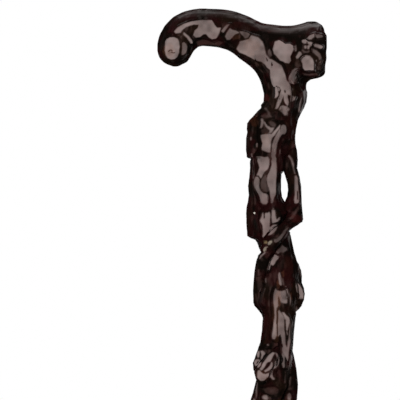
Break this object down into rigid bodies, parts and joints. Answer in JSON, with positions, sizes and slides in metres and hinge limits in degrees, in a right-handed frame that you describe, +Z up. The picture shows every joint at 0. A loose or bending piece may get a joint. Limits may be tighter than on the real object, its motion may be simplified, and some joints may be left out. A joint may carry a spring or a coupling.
{
  "type": "walking cane",
  "caption": "Root-carved wooden walking cane with a rolled knob grip, a knotty burl, a gnarled stem wound by vines and a pull-off rubber tip.",
  "frame": {"origin": "middle of the rubber tip's sole, on the floor", "axes": "+Z up along the stem, -X towards the knob of the grip, +X towards the burl, -Y towards the side that the picture shows"},
  "size_m": [0.1523, 0.0488, 0.9],
  "materials": {
    "dark_lacquered_root": "thick clear gloss lacquer over near-black red-brown stained root wood",
    "red_brown_lacquered_vine": "thick clear gloss lacquer over red-brown stained vine wood",
    "bare_wood": "bare beech, glued in place",
    "black_rubber": "matt moulded black rubber",
    "plated_steel": "zinc-plated steel"
  },
  "bodies": {
    "cane": {"handle": "dark_lacquered_root", "main_stem": "dark_lacquered_root", "right_vine": "red_brown_lacquered_vine", "left_vine": "red_brown_lacquered_vine", "lower_vine": "red_brown_lacquered_vine", "joint_dowel": "bare_wood"},
    "tip": {"rubber_tip": "black_rubber", "tip_washer": "plated_steel"}
  },
  "joints": [
    {"name": "tip_pull_off", "type": "slide", "parent": "cane", "child": "tip", "axis": [0, 0, -1], "range_m": [0, 0.04]}
  ]
}
